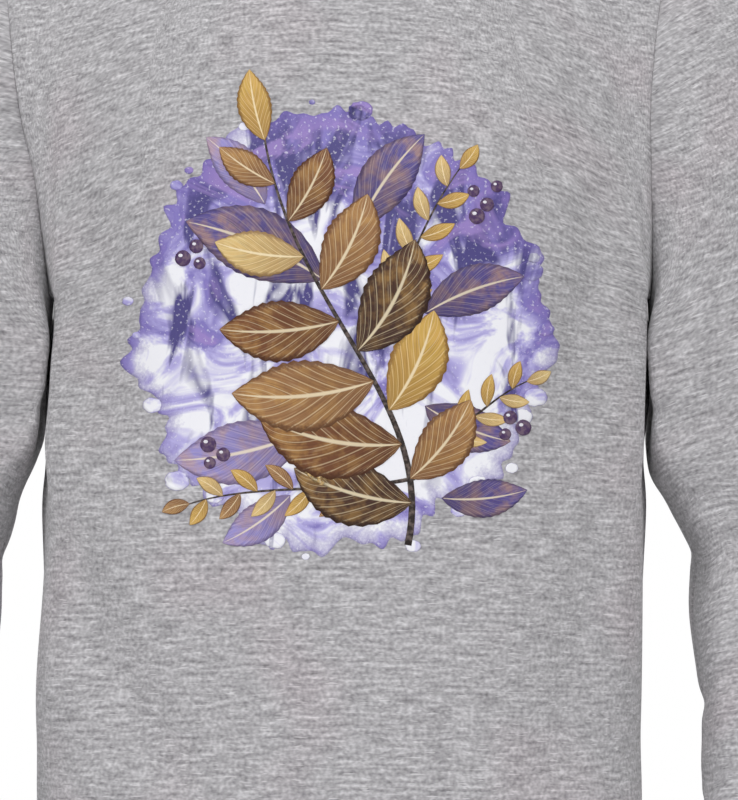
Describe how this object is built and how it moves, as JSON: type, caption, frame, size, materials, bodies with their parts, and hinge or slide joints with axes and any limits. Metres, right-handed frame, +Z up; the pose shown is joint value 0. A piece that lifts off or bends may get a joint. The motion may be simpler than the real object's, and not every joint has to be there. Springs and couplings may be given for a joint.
{
  "type": "crew-neck sweatshirt",
  "caption": "Long-sleeved crew-neck sweatshirt in heather grey fleece, in the shape it takes when worn, with rib collar, cuffs and waistband.",
  "frame": {"origin": "on the floor, at the middle of the whole garment's box, under the lower edge of the waistband", "axes": "+Z up, the front faces -Y, and the wearer's left arm is at +X"},
  "size_m": [0.647, 0.2337, 0.7157],
  "materials": {
    "fleece": "heather grey cotton fleece, matt and slightly fuzzy",
    "rib": "heather grey rib knit, matt"
  },
  "bodies": {
    "root": {"front_panel": "fleece", "back_panel": "fleece", "sleeve_left": "fleece", "sleeve_right": "fleece", "cuff_left": "rib", "cuff_right": "rib", "waistband": "rib", "collar": "rib"}
  },
  "joints": []
}
